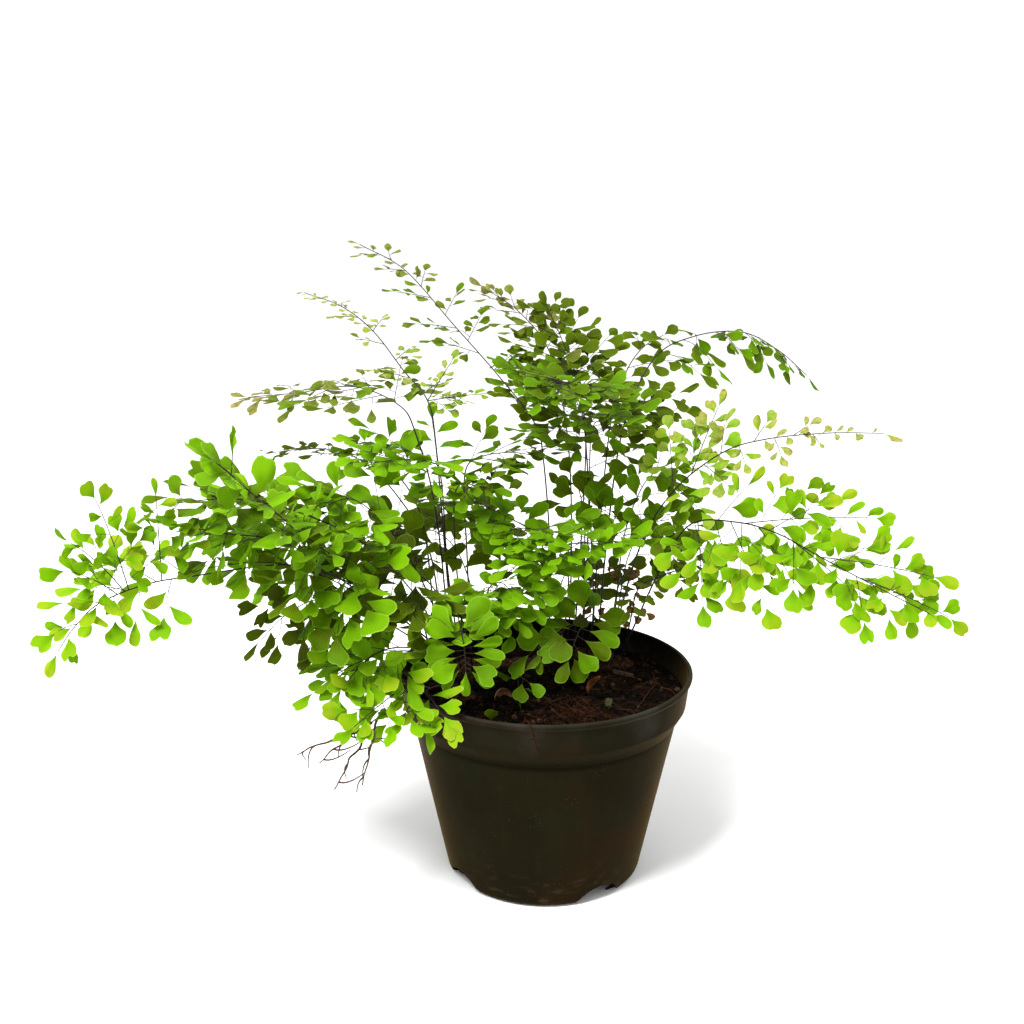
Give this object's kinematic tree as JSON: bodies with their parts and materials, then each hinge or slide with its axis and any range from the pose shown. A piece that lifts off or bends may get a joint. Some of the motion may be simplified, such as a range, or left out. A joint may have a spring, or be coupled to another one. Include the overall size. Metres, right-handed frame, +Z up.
{
  "type": "potted maidenhair fern",
  "caption": "Bushy maidenhair fern with wiry dark stalks and fan-shaped green leaflets, growing from a creeping rhizome in a round black nursery pot of potting mix.",
  "frame": {"origin": "middle of the pot's underside, on the surface the pot stands on", "axes": "+Z up, +X to the right as seen from the front, where the mix shows bare in front of the fronds, +Y to the back"},
  "size_m": [0.389, 0.2462, 0.3142],
  "materials": {
    "pot_plastic": "satin",
    "potting_mix": "matte",
    "rhizome_scales": "matte",
    "leaf_green": "satin",
    "leaf_pale": "satin",
    "leaf_withered": "matte",
    "dry_twig": "matte",
    "root": "matte",
    "dry_scrap": "matte"
  },
  "bodies": {
    "root": {"bark_chip_1": "dry_scrap", "bark_chip_2": "dry_scrap", "bark_chip_3": "dry_scrap", "dry_leaf_scrap": "dry_scrap", "frond_back_1": "leaf_green", "frond_back_2": "leaf_green", "frond_back_3": "leaf_withered", "frond_front_1": "leaf_green", "frond_front_2": "leaf_green", "frond_front_3": "leaf_green", "frond_front_4": "leaf_green", "frond_front_5": "leaf_green", "frond_front_6": "leaf_green", "frond_front_7": "dry_twig", "frond_left_1": "leaf_pale", "frond_left_10": "leaf_green", "frond_left_11": "leaf_green", "frond_left_12": "leaf_green", "frond_left_13": "leaf_green", "frond_left_2": "leaf_green", "frond_left_3": "leaf_green", "frond_left_4": "leaf_green", "frond_left_5": "leaf_green", "frond_left_6": "leaf_green", "frond_left_7": "leaf_green", "frond_left_8": "leaf_green", "frond_left_9": "leaf_green", "frond_middle_1": "leaf_green", "frond_middle_2": "leaf_green", "frond_middle_3": "leaf_green", "frond_middle_4": "leaf_green", "frond_middle_5": "leaf_green", "frond_middle_6": "leaf_green", "frond_middle_7": "leaf_green", "frond_middle_8": "leaf_green", "frond_right_1": "leaf_green", "frond_right_2": "leaf_pale", "frond_right_3": "leaf_green", "frond_right_4": "leaf_green", "frond_right_5": "leaf_green", "frond_right_6": "leaf_green", "frond_right_7": "leaf_green", "frond_top_1": "leaf_green", "frond_top_2": "leaf_green", "frond_top_3": "leaf_green", "frond_top_4": "leaf_green", "frond_top_5": "leaf_green", "pot": "pot_plastic", "potting_mix": "potting_mix", "rhizome": "rhizome_scales", "surface_root_1": "root", "surface_root_2": "root", "surface_root_3": "root", "surface_root_4": "root", "surface_root_5": "root"}
  },
  "joints": []
}
